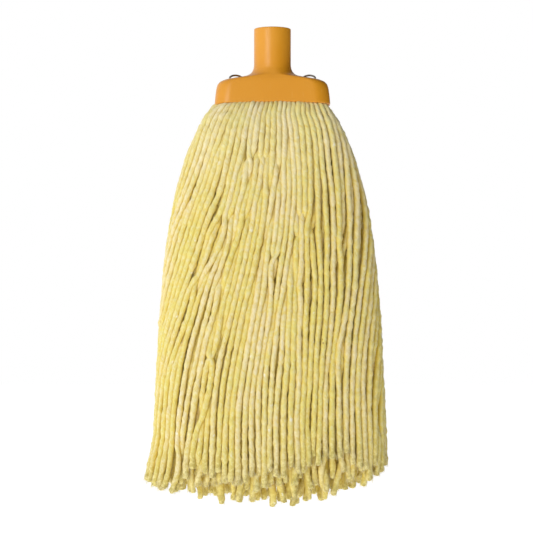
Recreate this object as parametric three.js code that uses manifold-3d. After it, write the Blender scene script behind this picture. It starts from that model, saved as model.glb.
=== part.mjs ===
// String mop head: a moulded socket head, a retaining rod held up by two wire staples, and
// cotton yarn folded over the rod so that it hangs in locks.
// Millimetres, +Z up, +X to the right and -Y to the front. The origin is the centre of the
// handle socket's mouth, so the whole mop hangs below z = 0.
import * as THREE from 'three';
import { mergeVertices } from 'three/addons/utils/BufferGeometryUtils.js';
import Module from 'manifold-3d';

// Handle socket.
const SOCKET_RADIUS = 15.8;
const BORE_RADIUS = 12.7;
const BORE_DEPTH = 42;
const RIM_CHAMFER = 0.7;
const SOCKET_STRAIGHT = 31;
const HEAD_SIDES = 36;

// Skirt, the boat-shaped lower part of the head.
const SKIRT_HALF_WIDTH = 49.5;
const SKIRT_HALF_DEPTH = 20;
const SKIRT_CORNER = 14;
const SKIRT_BOTTOM = 65.8;
const SKIRT_WALL = 2.5;
const SKIRT_ROOF = 48.4;
const RIM_ARCH = 1.5;
const RIM_ROUND = 0.6;
const RIM_EDGE = 1.2;

// The shoulder, from the socket down to the skirt: depth, half width, half depth and corner
// radius of each level.
const SHOULDER = [
  [34.5, 16.3, 16.0, 16.0],
  [37.2, 17.6, 16.6, 16.6],
  [39.3, 19.8, 17.2, 17.2],
  [40.7, 22.8, 17.7, 17.2],
  [41.6, 26.4, 18.0, 16.4],
  [43.0, 34.0, 18.3, 15.0],
  [44.4, 40.8, 18.6, SKIRT_CORNER],
  [46.0, 44.6, 18.8, SKIRT_CORNER],
  [48.4, 46.9, 19.0, SKIRT_CORNER],
  [51.0, 47.8, 19.2, SKIRT_CORNER],
  [56.5, 48.7, 19.6, SKIRT_CORNER],
];

// How the hollow draws in towards its roof: below the roof by, half width less by, half
// depth less by and corner radius less by.
const HOLLOW_TAPER = [
  [3.6, 1.5, 0.9, 0],
  [0.8, 2.8, 2.0, 1],
  [0, 5.0, 4.0, 3],
];

// Steel rod in the fold of the yarn, and the wire staples that hold it up.
const ROD_RADIUS = 2;
const ROD_LENGTH = 84;
const ROD_DEPTH = 57;
const WIRE_RADIUS = 0.8;
const STAPLE_CENTRE = 31.2;
const STAPLE_SPAN = 11;
const CROWN_DEPTH = 39.9;
const CROWN_BASE = 42.8;
const LEG_SET_BACK = ROD_RADIUS + WIRE_RADIUS + 0.4;
const FOOT_DEPTH = ROD_DEPTH + ROD_RADIUS + WIRE_RADIUS + 0.4;
const FOOT_BEND = 1.8;
const CROWN_STEPS = 6;
const WIRE_STEPS = 40;
const WIRE_CURVE = 6;
const ROD_SIDES = 12;
const HOLE_RADIUS = 1.9;
const HOLE_LENGTH = 30;
const HOLE_SIDES = 8;

// Yarn folded over the rod, inside the skirt.
const SADDLE_TOP = 49;
const SADDLE_BOTTOM = 65.6;
const SADDLE_SLOT = ROD_RADIUS + 0.4;
const SADDLE_INSET = 0.5;
const LEG_CLEARANCE = 1.4;
const SLOT_CURVE = 6;

// Hanging yarn. Its locks are boxes bent to a bell, in rows that lie closer near the top.
const LOCK_TOP = 69.2;
const LOCK_LENGTH = 347.6;
const LOCK_ROWS = 10;
const ROW_CROWDING = 1.5;
const END_RISE_ACROSS = 16;
const END_RISE_OUT = 26;
const LOCK_GAP = 0.9;
const GROUP_GAP = 1.8;
const SIDE_START = 0.6;
const SIDE_MIDDLE = 0.8;
const SIDE_END = 0.985;
const FRONT_COLUMNS = 6;
const LAYER_SPLIT = 0.52;

// The bell: it flares out over one drop and bulges under the rim over a short one, and both
// its sides lean out by a slope. Its section goes from nearly square to nearly elliptical.
const FLARE_DROP = 60;
const FLARE_WIDTH = 42;
const FLARE_DEPTH = 9;
const BULGE_DROP = 8;
const BULGE_DEPTH = 7;
const SLOPE_WIDTH = 0.035;
const SLOPE_DEPTH = 0.032;
const INSET_WIDTH = 0.5;
const INSET_DEPTH = 1.5;
const ROUND_POWER = 2.2;
const SQUARE_POWER = 4;
const SQUARE_DROP = 20;

const PLASTIC = { color: 0xdf9a33, roughness: 0.42, metalness: 0 };
const STEEL = { color: 0x8b8a86, roughness: 0.35, metalness: 0.9 };
const YARN = { color: 0xe0cb7e, roughness: 0.95, metalness: 0 };

const wasm = await Module();
wasm.setup();

const mop = new THREE.Group();

function addPiece(name, geometry, look) {
  const mesh = new THREE.Mesh(geometry, new THREE.MeshStandardMaterial(look));
  mesh.name = name;
  mop.add(mesh);
  return mesh;
}

// A closed mesh as a solid that can be joined and cut.
function toSolid(geometry) {
  const bare = geometry.clone();
  bare.deleteAttribute('normal');
  bare.deleteAttribute('uv');
  const merged = mergeVertices(bare, 1e-4);
  return new wasm.Manifold(new wasm.Mesh({
    numProp: 3,
    vertProperties: new Float32Array(merged.attributes.position.array),
    triVerts: new Uint32Array(merged.index.array),
  }));
}

function toGeometry(solid) {
  const mesh = solid.getMesh();
  const geometry = new THREE.BufferGeometry();
  geometry.setAttribute('position', new THREE.BufferAttribute(mesh.vertProperties, 3));
  geometry.setIndex(new THREE.BufferAttribute(mesh.triVerts, 1));
  geometry.computeVertexNormals();
  return geometry;
}

// A level of the head: a rounded rectangle of these half sides and this corner radius, at a
// depth below the socket's mouth. A circle is a square whose corners take up all of it.
function level(depth, halfWidth, halfDepth = halfWidth, corner = halfDepth, arch = 0) {
  return { depth, halfWidth, halfDepth, corner, arch };
}

// A closed skin through levels in order, capped flat at the first and the last. The levels
// may turn back, so that one skin makes a bore, an outside and a hollow in turn.
function skin(levels, sides) {
  const rows = levels.length - 1;
  const geometry = new THREE.CylinderGeometry(1, 1, 1, sides, rows, false, Math.PI / sides);
  geometry.rotateX(Math.PI / 2);
  const at = geometry.attributes.position;
  for (let i = 0; i < at.count; i += 1) {
    const ring = levels[Math.round((0.5 - at.getZ(i)) * rows)];
    const radius = Math.hypot(at.getX(i), at.getY(i));
    const angle = Math.atan2(at.getY(i), at.getX(i));
    const core = {
      x: (ring.halfWidth - ring.corner) * Math.sign(Math.round(Math.cos(angle) * 1e6)),
      y: (ring.halfDepth - ring.corner) * Math.sign(Math.round(Math.sin(angle) * 1e6)),
    };
    const x = radius * (core.x + ring.corner * Math.cos(angle));
    const y = radius * (core.y + ring.corner * Math.sin(angle));
    const lift = ring.arch * (1 - (x / SKIRT_HALF_WIDTH) ** 2);
    at.setXYZ(i, x, y, lift - ring.depth);
  }
  return geometry;
}

// The hollow under the skirt, drawn in by an inset on every wall.
function hollowLevels(inset) {
  const corner = SKIRT_CORNER - SKIRT_WALL;
  const halfWidth = SKIRT_HALF_WIDTH - SKIRT_WALL - inset;
  const halfDepth = SKIRT_HALF_DEPTH - SKIRT_WALL - inset;
  return [
    level(SKIRT_BOTTOM - RIM_EDGE, halfWidth, halfDepth, corner, RIM_ARCH),
    ...HOLLOW_TAPER.map(([below, lessWidth, lessDepth, lessCorner]) => level(
      SKIRT_ROOF + Math.max(below, inset),
      halfWidth - lessWidth,
      halfDepth - lessDepth,
      corner - lessCorner,
    )),
  ];
}

// The flat end of the rim, drawn in from the outside of the skirt.
function rimLevel(inset, corner) {
  const halfWidth = SKIRT_HALF_WIDTH - inset;
  return level(SKIRT_BOTTOM, halfWidth, SKIRT_HALF_DEPTH - inset, corner, RIM_ARCH);
}

function makeHead() {
  const rim = SOCKET_RADIUS - RIM_CHAMFER;
  const mouth = BORE_RADIUS + RIM_CHAMFER;
  const levels = [
    level(BORE_DEPTH, BORE_RADIUS),
    level(RIM_CHAMFER, BORE_RADIUS),
    level(0, mouth),
    level(0, rim),
    level(RIM_CHAMFER, SOCKET_RADIUS),
    level(SOCKET_STRAIGHT, SOCKET_RADIUS),
    ...SHOULDER.map((row) => level(...row)),
    level(SKIRT_BOTTOM - RIM_EDGE, SKIRT_HALF_WIDTH, SKIRT_HALF_DEPTH, SKIRT_CORNER, RIM_ARCH),
    rimLevel(RIM_ROUND, SKIRT_CORNER),
    rimLevel(SKIRT_WALL - RIM_ROUND, SKIRT_CORNER - SKIRT_WALL),
    ...hollowLevels(0),
  ];
  let head = toSolid(skin(levels, HEAD_SIDES));
  const drill = new THREE.CylinderGeometry(HOLE_RADIUS, HOLE_RADIUS, HOLE_LENGTH, HOLE_SIDES);
  drill.rotateX(Math.PI / 2);
  for (const side of [-1, 1]) {
    for (const leg of [-1, 1]) {
      const hole = drill.clone();
      const x = side * (STAPLE_CENTRE - leg * STAPLE_SPAN / 2);
      hole.translate(x, leg * LEG_SET_BACK, -SKIRT_ROOF);
      head = head.subtract(toSolid(hole));
    }
  }
  addPiece('socket_head', toGeometry(head), PLASTIC);
}

function makeRod() {
  const rod = new THREE.CylinderGeometry(ROD_RADIUS, ROD_RADIUS, ROD_LENGTH, ROD_SIDES);
  const mesh = addPiece('retaining_rod', rod, STEEL);
  mesh.rotation.z = Math.PI / 2;
  mesh.position.z = -ROD_DEPTH;
}

// A staple straddles the rod: one leg passes in front of it and the other behind it, a
// little further along, and both feet are clinched under it. Its crown arches over the
// shoulder from one leg to the other.
function makeStaple(name, side) {
  const half = STAPLE_SPAN / 2;
  const points = [];
  const leg = (end) => {
    const x = side * (STAPLE_CENTRE + end * half);
    return [
      new THREE.Vector3(x, end * LEG_SET_BACK, -FOOT_DEPTH),
      new THREE.Vector3(x, end * (FOOT_BEND - LEG_SET_BACK), -FOOT_DEPTH),
      new THREE.Vector3(x, -end * LEG_SET_BACK, FOOT_BEND - FOOT_DEPTH),
      new THREE.Vector3(x, -end * LEG_SET_BACK, -SKIRT_ROOF),
    ];
  };
  points.push(...leg(1));
  for (let turn = 0; turn <= CROWN_STEPS; turn += 1) {
    const angle = turn * Math.PI / CROWN_STEPS;
    const x = side * (STAPLE_CENTRE + half * Math.cos(angle));
    const y = -LEG_SET_BACK * Math.cos(angle);
    const rise = (CROWN_BASE - CROWN_DEPTH) * Math.sin(angle);
    points.push(new THREE.Vector3(x, y, rise - CROWN_BASE));
  }
  points.push(...leg(-1).reverse());
  const section = new THREE.Shape();
  section.absarc(0, 0, WIRE_RADIUS, 0, 2 * Math.PI);
  const wire = new THREE.ExtrudeGeometry(section, {
    steps: WIRE_STEPS,
    curveSegments: WIRE_CURVE,
    extrudePath: new THREE.CatmullRomCurve3(points, false, 'centripetal'),
  });
  addPiece(name, wire, STEEL);
}

// The yarn over the rod is an upturned channel, open below where the strands part. Its
// lengths stop short of the staples' legs.
function makeSaddles() {
  const plug = toSolid(skin(hollowLevels(SADDLE_INSET).reverse(), HEAD_SIDES));
  const half = SKIRT_HALF_DEPTH;
  const outline = new THREE.Shape();
  outline.moveTo(-half, -SADDLE_BOTTOM);
  outline.lineTo(-SADDLE_SLOT, -SADDLE_BOTTOM);
  outline.lineTo(-SADDLE_SLOT, -ROD_DEPTH);
  outline.absarc(0, -ROD_DEPTH, SADDLE_SLOT, Math.PI, 0, true);
  outline.lineTo(SADDLE_SLOT, -SADDLE_BOTTOM);
  outline.lineTo(half, -SADDLE_BOTTOM);
  outline.lineTo(half, -SADDLE_TOP);
  outline.lineTo(-half, -SADDLE_TOP);
  const innerLeg = STAPLE_CENTRE - STAPLE_SPAN / 2;
  const outerLeg = STAPLE_CENTRE + STAPLE_SPAN / 2;
  const middle = innerLeg - LEG_CLEARANCE;
  const spans = [
    [-SKIRT_HALF_WIDTH, -outerLeg - LEG_CLEARANCE],
    [-outerLeg + LEG_CLEARANCE, -innerLeg - LEG_CLEARANCE],
    [-middle, -middle / 2],
    [-middle / 2, 0],
    [0, middle / 2],
    [middle / 2, middle],
    [innerLeg + LEG_CLEARANCE, outerLeg - LEG_CLEARANCE],
    [outerLeg + LEG_CLEARANCE, SKIRT_HALF_WIDTH],
  ];
  spans.forEach(([from, to], index) => {
    const length = to - from - LOCK_GAP;
    const channel = new THREE.ExtrudeGeometry(outline, {
      depth: length,
      bevelEnabled: false,
      curveSegments: SLOT_CURVE,
    });
    channel.rotateZ(Math.PI / 2);
    channel.rotateY(Math.PI / 2);
    channel.translate(from + LOCK_GAP / 2, 0, 0);
    const saddle = toSolid(channel).intersect(plug);
    addPiece(`yarn_saddle_${index + 1}`, toGeometry(saddle), YARN);
  });
}

// The bell's half width and half depth at a drop below the skirt, and how square it is.
function bell(drop) {
  const flare = 1 - Math.exp(-drop / FLARE_DROP);
  const bulge = 1 - Math.exp(-drop / BULGE_DROP);
  const halfWidth = SKIRT_HALF_WIDTH - INSET_WIDTH + FLARE_WIDTH * flare;
  const halfDepth = SKIRT_HALF_DEPTH - INSET_DEPTH + FLARE_DEPTH * flare;
  return {
    halfWidth: halfWidth + SLOPE_WIDTH * drop,
    halfDepth: halfDepth + BULGE_DEPTH * bulge + SLOPE_DEPTH * drop,
    power: ROUND_POWER + SQUARE_POWER * Math.exp(-drop / SQUARE_DROP),
  };
}

// Strands that swing out over the bell end higher than those that hang straight down.
function lockEnd(across, outermost) {
  const rise = END_RISE_ACROSS * Math.abs(across) ** 3 + END_RISE_OUT * outermost ** 2;
  return LOCK_TOP + LOCK_LENGTH - rise;
}

// A lock is a box bent to the bell: across and through are its ranges as shares of the
// bell's half width and half depth, and the gaps are in millimetres.
function makeLock(name, across, through, gaps) {
  const geometry = new THREE.BoxGeometry(1, 1, 1, 1, 1, LOCK_ROWS);
  const at = geometry.attributes.position;
  for (let i = 0; i < at.count; i += 1) {
    const column = at.getX(i) > 0 ? 1 : 0;
    const layer = at.getY(i) > 0 ? 1 : 0;
    const fall = (0.5 - at.getZ(i)) ** ROW_CROWDING;
    const end = lockEnd(across[column], Math.max(...through.map(Math.abs)));
    const depth = LOCK_TOP + fall * (end - LOCK_TOP);
    const shape = bell(depth - SKIRT_BOTTOM);
    const x = across[column] * shape.halfWidth + (0.5 - column) * gaps.across[column];
    const share = Math.min(Math.abs(x) / shape.halfWidth, 1);
    const reach = shape.halfDepth * (1 - share ** shape.power) ** (1 / shape.power);
    const y = through[layer] * reach + (0.5 - layer) * gaps.through[layer];
    at.setXYZ(i, x, y, -depth);
  }
  geometry.computeVertexNormals();
  addPiece(name, geometry, YARN);
}

function makeFrontAndBack() {
  const layers = {
    front_outer: [-1, -LAYER_SPLIT],
    front_inner: [-LAYER_SPLIT, 0],
    back_inner: [0, LAYER_SPLIT],
    back_outer: [LAYER_SPLIT, 1],
  };
  for (const [layer, through] of Object.entries(layers)) {
    const gapsThrough = through.map((edge) => (edge === 0 ? GROUP_GAP : LOCK_GAP));
    for (let column = 0; column < FRONT_COLUMNS; column += 1) {
      const across = [column, column + 1].map((edge) => (
        SIDE_START * (2 * edge / FRONT_COLUMNS - 1)
      ));
      const gapsAcross = [
        column === 0 ? GROUP_GAP : LOCK_GAP,
        column === FRONT_COLUMNS - 1 ? GROUP_GAP : LOCK_GAP,
      ];
      const gaps = { across: gapsAcross, through: gapsThrough };
      makeLock(`${layer}_lock_${column + 1}`, across, through, gaps);
    }
  }
}

function makeSides() {
  const columns = {
    inner: [SIDE_START, SIDE_MIDDLE],
    outer: [SIDE_MIDDLE, SIDE_END],
  };
  const rows = { front: [-1, 0], back: [0, 1] };
  for (const [column, span] of Object.entries(columns)) {
    for (const [row, through] of Object.entries(rows)) {
      const gapsThrough = [LOCK_GAP, LOCK_GAP];
      const gapsAcross = span.map((edge) => (edge === SIDE_START ? GROUP_GAP : LOCK_GAP));
      const mirrored = [-span[1], -span[0]];
      makeLock(`left_${column}_${row}_lock`, mirrored, through, {
        across: [gapsAcross[1], gapsAcross[0]],
        through: gapsThrough,
      });
      makeLock(`right_${column}_${row}_lock`, span, through, {
        across: gapsAcross,
        through: gapsThrough,
      });
    }
  }
}

makeHead();
makeRod();
makeStaple('left_wire_staple', -1);
makeStaple('right_wire_staple', 1);
makeSaddles();
makeFrontAndBack();
makeSides();

export default mop;
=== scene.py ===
"""A string mop head: the moulded socket head, its steel rod and wire staples, and two
hundred and fifty twisted cotton strands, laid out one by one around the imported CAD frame.

The layout works in millimetres, with its origin at the middle of the socket's mouth. Meshes
are made in metres.
"""

import bmesh
import bpy
import numpy as np
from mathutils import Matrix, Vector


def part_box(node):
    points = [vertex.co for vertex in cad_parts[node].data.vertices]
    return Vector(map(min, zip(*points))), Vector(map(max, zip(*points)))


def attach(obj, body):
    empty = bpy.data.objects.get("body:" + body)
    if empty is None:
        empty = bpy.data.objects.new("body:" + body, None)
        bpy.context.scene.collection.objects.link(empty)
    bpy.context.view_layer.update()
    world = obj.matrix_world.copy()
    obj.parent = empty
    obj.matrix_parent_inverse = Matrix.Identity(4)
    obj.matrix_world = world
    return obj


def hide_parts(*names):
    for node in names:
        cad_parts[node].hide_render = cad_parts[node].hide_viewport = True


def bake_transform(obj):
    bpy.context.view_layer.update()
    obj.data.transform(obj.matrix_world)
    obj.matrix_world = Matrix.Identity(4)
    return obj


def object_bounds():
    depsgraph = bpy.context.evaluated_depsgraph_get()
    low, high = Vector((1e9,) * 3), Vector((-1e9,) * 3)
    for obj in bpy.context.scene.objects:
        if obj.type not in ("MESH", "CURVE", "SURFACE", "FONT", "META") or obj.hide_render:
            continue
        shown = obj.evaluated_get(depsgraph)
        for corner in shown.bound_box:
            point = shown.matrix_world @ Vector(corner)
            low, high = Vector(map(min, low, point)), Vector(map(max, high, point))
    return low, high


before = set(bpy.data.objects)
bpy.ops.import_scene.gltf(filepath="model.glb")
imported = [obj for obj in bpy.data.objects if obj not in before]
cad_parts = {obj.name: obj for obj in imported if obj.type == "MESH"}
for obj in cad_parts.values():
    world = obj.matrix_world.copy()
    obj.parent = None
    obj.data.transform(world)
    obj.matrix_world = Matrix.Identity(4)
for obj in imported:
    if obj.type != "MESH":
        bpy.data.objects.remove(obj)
cad_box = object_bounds()

MM = 0.001
FULL_TURN = 2 * np.pi
X_AXIS = np.array([1.0, 0.0, 0.0])
Y_AXIS = np.array([0.0, 1.0, 0.0])
rng = np.random.default_rng(31)

# ---- camera

CAMERA_DISTANCE = 1.35
CAMERA_X = -0.0051
CAMERA_Z = -0.2042
FRAME_WIDTH = 0.4584
SENSOR_MM = 36.0


def make_camera():
    data = bpy.data.cameras.new("camera")
    data.sensor_width = SENSOR_MM
    data.lens = SENSOR_MM * CAMERA_DISTANCE / FRAME_WIDTH
    camera = bpy.data.objects.new("camera", data)
    camera.location = (CAMERA_X, -CAMERA_DISTANCE, CAMERA_Z)
    camera.rotation_euler = (np.pi / 2, 0, 0)
    bpy.context.scene.collection.objects.link(camera)
    bpy.context.scene.camera = camera


make_camera()

# ---- sizes, from the frame

head_low, head_high = (np.array(corner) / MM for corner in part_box("socket_head"))
rod_low, rod_high = (np.array(corner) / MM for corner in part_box("retaining_rod"))
SKIRT_HALF_WIDTH = head_high[0]
SKIRT_HALF_DEPTH = head_high[1]
SKIRT_BOTTOM = -head_low[2]
SKIRT_WALL = 2.5
YARN_BOTTOM = -cad_box[0][2] / MM
ROD_RADIUS = (rod_high[2] - rod_low[2]) / 2
ROD_DEPTH = -(rod_high[2] + rod_low[2]) / 2
ROD_HALF_LENGTH = rod_high[0]

STRAND_RADIUS = 2.55
PACKED_RADIUS = 2.0
STRAND_TOP = 58.0

# ---- materials


class Nodes:
    """A material's or world's node tree, with short ways to add a node and to wire it up."""

    def __init__(self, block, shader="Principled BSDF"):
        block.use_nodes = True
        self.block = block
        self.tree = block.node_tree
        self.shader = self.tree.nodes[shader]

    def add(self, kind, inputs=None, **settings):
        node = self.tree.nodes.new(kind)
        for key, value in settings.items():
            setattr(node, key, value)
        for key, value in (inputs or {}).items():
            self.set(node.inputs[key], value)
        return node

    def set(self, socket, value):
        if isinstance(value, bpy.types.NodeSocket):
            self.tree.links.new(value, socket)
        else:
            socket.default_value = value

    def finish(self, **values):
        for key, value in values.items():
            self.set(self.shader.inputs[key.replace("_", " ")], value)
        return self.block

    def maths(self, operation, a, b=0.0):
        return self.add("ShaderNodeMath", {0: a, 1: b}, operation=operation).outputs[0]

    def mix(self, share, a, b):
        return self.add("ShaderNodeMix", {0: share, 6: a, 7: b}, data_type="RGBA").outputs[2]

    def lay(self, colour, over, mask, share):
        """A colour with another laid over it where the mask is, by a share at the most."""
        return self.mix(self.maths("MULTIPLY", mask, share), colour, over)

    def ramp(self, value, low, high):
        inputs = {"Value": value, "From Min": low, "From Max": high}
        node = self.add("ShaderNodeMapRange", inputs, interpolation_type="SMOOTHSTEP")
        return node.outputs[0]

    def noise(self, vector, scale, detail=2.0, roughness=0.5):
        inputs = {"Vector": vector, "Scale": scale, "Detail": detail, "Roughness": roughness}
        return self.add("ShaderNodeTexNoise", inputs).outputs["Fac"]

    def spots(self, vector, scale, edge, middle):
        """Round spots, one in each cell, from nothing at the edge to full at the middle."""
        cells = self.add("ShaderNodeTexVoronoi", {"Vector": vector, "Scale": scale})
        return self.ramp(cells.outputs["Distance"], edge, middle)

    def attribute(self, name):
        return self.add("ShaderNodeAttribute", attribute_name=name).outputs["Fac"]

    def place(self, scale=(1, 1, 1)):
        """Where a point lies on its object, in metres, stretched by a scale along each axis."""
        place = self.add("ShaderNodeTexCoord").outputs["Object"]
        return self.add("ShaderNodeMapping", {"Vector": place, "Scale": scale}).outputs[0]

    def bump(self, height, strength, distance, under=None):
        inputs = {"Height": height, "Strength": strength, "Distance": distance}
        if under is not None:
            inputs["Normal"] = under
        return self.add("ShaderNodeBump", inputs).outputs[0]


def srgb(red, green, blue):
    """A colour given as it is seen, from 0 to 255, as the linear colour a shader takes."""
    seen = np.array([red, green, blue]) / 255
    linear = np.where(seen <= 0.04045, seen / 12.92, ((seen + 0.055) / 1.055) ** 2.4)
    return (*(float(x) for x in linear), 1.0)


CREAM = srgb(245, 231, 184)
STRAW = srgb(239, 224, 144)
LEMON = srgb(234, 228, 138)
GOLD = srgb(238, 216, 112)
# Painted shade: the golden colour laid on the sides of strands and between the wound fibres.
PAINTED_SHADE = srgb(230, 199, 66)
# Painted shade on strands that lie deeper inside the yarn.
DEPTH_SHADE = srgb(250, 222, 84)
NEP = srgb(250, 244, 216)
# Painted shade at the cut ends.
END_SHADE = srgb(182, 166, 94)
SEED = srgb(150, 112, 52)

# The yarn's detail: the winding of its fibres per metre, the fibres round and along a
# strand, the shift between strands, and how fine its noises and spots are.
WIND = 62.0
FIBRE_SCALE = 22.0
FIBRE_LENGTH_SCALE = 190.0
STRAND_SHIFT = 40.0
PATCH_SCALE = 60.0
SLUB_SCALE = 160.0
SPECKLE_SCALE = 360.0
NEP_CELLS = 95.0
SEED_CELLS = 60.0
# Painted light near the head, in metres along a strand: none from the first, full from the
# second up to the top.
LIGHTEN_FROM = 0.13
LIGHTEN_TO = 0.03


def wound_fibres(n, along, turn):
    """Streaks that wind round the strand as they run along it, other ones on each strand."""
    wound = n.maths("ADD", turn, n.maths("MULTIPLY", along, WIND))
    inputs = {
        "X": n.maths("MULTIPLY", wound, FIBRE_SCALE),
        "Y": n.maths("MULTIPLY", along, FIBRE_LENGTH_SCALE),
        "Z": n.maths("MULTIPLY", n.attribute("tint"), STRAND_SHIFT),
    }
    return n.noise(n.add("ShaderNodeCombineXYZ", inputs).outputs[0], 1.0, 4.0, 0.6)


def make_yarn_material():
    """Soft cotton: fibres wound round the strand, uneven dye, white neps and a few seeds.
    Painted shade lies on the sides of strands, between the wound fibres, on strands deeper
    inside and at the cut ends, and painted light near the head. The strand map has the turn
    round a strand as U and metres along it as V."""
    n = Nodes(bpy.data.materials.new("cotton_yarn"))
    strand = n.add("ShaderNodeUVMap", uv_map="strand").outputs[0]
    turn, along, _ = n.add("ShaderNodeSeparateXYZ", {"Vector": strand}).outputs
    fibres = wound_fibres(n, along, turn)
    place = n.place()
    slubs = n.noise(place, SLUB_SCALE)
    patches = n.noise(place, PATCH_SCALE, 3.0)
    speckle = n.noise(place, SPECKLE_SCALE, 3.0, 0.6)
    neps = n.spots(place, NEP_CELLS, 0.2, 0.1)
    seeds = n.spots(place, SEED_CELLS, 0.055, 0.03)
    # Painted shade at the cut ends: a dull olive, speckled.
    end_shade = n.mix(n.ramp(speckle, 0.42, 0.6), END_SHADE, STRAW)
    colour = n.mix(n.ramp(n.attribute("tint"), 0.1, 0.9), CREAM, STRAW)
    layers = (
        (LEMON, n.ramp(patches, 0.42, 0.66), 0.5),
        (NEP, n.ramp(speckle, 0.5, 0.64), 0.32),
        (GOLD, n.ramp(speckle, 0.5, 0.38), 0.48),
        # Painted shade on the side of each strand turned away from outside.
        (PAINTED_SHADE, n.attribute("painted_side_shade"), 0.85),
        # Painted shade on strands deeper inside the yarn, less near their cut ends.
        (DEPTH_SHADE, n.attribute("deep"), 0.75),
        # Painted light: the strands lighten towards the head.
        (NEP, n.ramp(along, LIGHTEN_FROM, LIGHTEN_TO), 0.18),
        # Painted shade in the hollows between the wound fibres.
        (PAINTED_SHADE, n.ramp(fibres, 0.5, 0.3), 0.7),
        (end_shade, n.attribute("tip"), 0.75),
        (NEP, neps, n.ramp(slubs, 0.55, 0.65)),
        (SEED, seeds, n.ramp(patches, 0.55, 0.6)),
    )
    for over, mask, share in layers:
        colour = n.lay(colour, over, mask, share)
    relief = n.bump(fibres, 0.5, 0.0005)
    relief = n.bump(slubs, 0.25, 0.0006, relief)
    relief = n.bump(speckle, 0.3, 0.0006, relief)
    return n.finish(
        Base_Color=colour,
        Normal=relief,
        Roughness=0.95,
        Sheen_Weight=0.2,
        Sheen_Roughness=0.5,
        Specular_IOR_Level=0.1,
    )


def make_plastic_material():
    """Satin moulded plastic: a faint mould grain, flow marks and upright scuffs."""
    n = Nodes(bpy.data.materials.new("head_plastic"))
    grain = n.noise(n.place(), 1500.0, 3.0)
    flow = n.noise(n.place(), 22.0, 3.0)
    scuffs = n.noise(n.place((900.0, 900.0, 60.0)), 1.0)
    colour = n.mix(n.ramp(flow, 0.35, 0.7), srgb(228, 153, 34), srgb(231, 158, 42))
    colour = n.mix(n.ramp(scuffs, 0.66, 0.8), colour, srgb(234, 170, 74))
    rough = n.maths("ADD", 0.3, n.maths("MULTIPLY", n.ramp(scuffs, 0.5, 0.8), 0.18))
    relief = n.bump(grain, 0.12, 0.0002)
    return n.finish(
        Base_Color=colour, Roughness=rough, Normal=relief, Specular_IOR_Level=0.45
    )


def make_steel_material():
    """Drawn steel wire: a finely lined, dulled and slightly dark skin."""
    n = Nodes(bpy.data.materials.new("steel_wire"))
    patches = n.noise(n.place(), 420.0, 3.0)
    lines = n.noise(n.place(), 2600.0)
    colour = n.mix(n.ramp(patches, 0.35, 0.7), srgb(122, 119, 114), srgb(168, 165, 160))
    rough = n.maths("ADD", 0.24, n.maths("MULTIPLY", patches, 0.2))
    relief = n.bump(lines, 0.2, 0.0001)
    return n.finish(Base_Color=colour, Roughness=rough, Normal=relief, Metallic=1.0)


yarn_material = make_yarn_material()
plastic_material = make_plastic_material()
steel_material = make_steel_material()

# ---- lines, tubes and meshes

CURVE_STEPS = 24
TUBE_END = 0.72
WELD_DISTANCE = 0.00001


def smoothstep(value):
    t = np.clip(value, 0.0, 1.0)
    return t * t * (3 - 2 * t)


def smooth_line(knots, fine):
    """Points along a smooth curve through every line's knots, some between each pair."""
    padded = np.concatenate([knots[:, :1], knots, knots[:, -1:]], axis=1)
    a, b, c, d = (padded[:, k : k + knots.shape[1] - 1, None] for k in range(4))
    t = (np.arange(fine) / fine)[None, None, :, None]
    bend = (2 * a - 5 * b + 4 * c - d) * t**2 + (3 * b - a - 3 * c + d) * t**3
    return (0.5 * (2 * b + (c - a) * t + bend)).reshape(len(knots), -1, 3)


def run_along(lines):
    """How far along its line each point lies."""
    steps = np.linalg.norm(np.diff(lines, axis=1), axis=2)
    return np.concatenate([np.zeros((len(lines), 1)), np.cumsum(steps, axis=1)], axis=1)


def even_points(line, run, reach, number):
    """Points spaced evenly along a line, from its start to a given way along it."""
    wanted = np.linspace(0, reach, number)
    return np.stack([np.interp(wanted, run, line[:, axis]) for axis in range(3)], axis=1)


def along_curve(points, number):
    """Points spaced evenly along a smooth curve through the given points. The curve is led
    straight on past both ends, and the part past them is cut off again."""
    points = np.asarray(points, float)
    longer = np.vstack([2 * points[0] - points[1], points, 2 * points[-1] - points[-2]])
    line = smooth_line(longer[None], CURVE_STEPS)[0, CURVE_STEPS : 1 - CURVE_STEPS]
    run = run_along(line[None])[0]
    return even_points(line, run, run[-1], number)


def cross_directions(centres, side):
    """Two directions across every line at each ring, carried along without twist, from a
    first direction that no line starts along."""
    tangents = np.gradient(centres, axis=1)
    tangents /= np.linalg.norm(tangents, axis=2, keepdims=True)
    across = np.zeros_like(tangents)
    for k in range(centres.shape[1]):
        lean = np.sum(side * tangents[:, k], axis=1, keepdims=True)
        side = side - tangents[:, k] * lean
        side /= np.linalg.norm(side, axis=1, keepdims=True)
        across[:, k] = side
    return across, np.cross(tangents, across)


def closed_tubes(number, rings, sides, pointed):
    """Faces for a number of closed tubes: four-sided ones round them, then three-sided ones
    at their ends. A pointed tube has a point of its own at either end, after its rings. Any
    other has three sides, which close it by themselves."""
    s = np.arange(sides)
    t = (s + 1) % sides
    r = np.arange(rings - 1)[:, None] * sides
    quads = np.stack([r + s, r + t, r + t + sides, r + s + sides], axis=2).reshape(-1, 4)
    end = (rings - 1) * sides
    if pointed:
        first, last = np.full(sides, rings * sides), np.full(sides, rings * sides + 1)
        caps = np.stack([first, t, s, last, end + s, end + t], axis=1).reshape(-1, 3)
    else:
        caps = np.array([[0, 2, 1], [end, end + 1, end + 2]])
    size = rings * sides + (2 if pointed else 0)
    step = (np.arange(number) * size)[:, None, None]
    return (quads[None] + step).reshape(-1, 4), (caps[None] + step).reshape(-1, 3)


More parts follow.
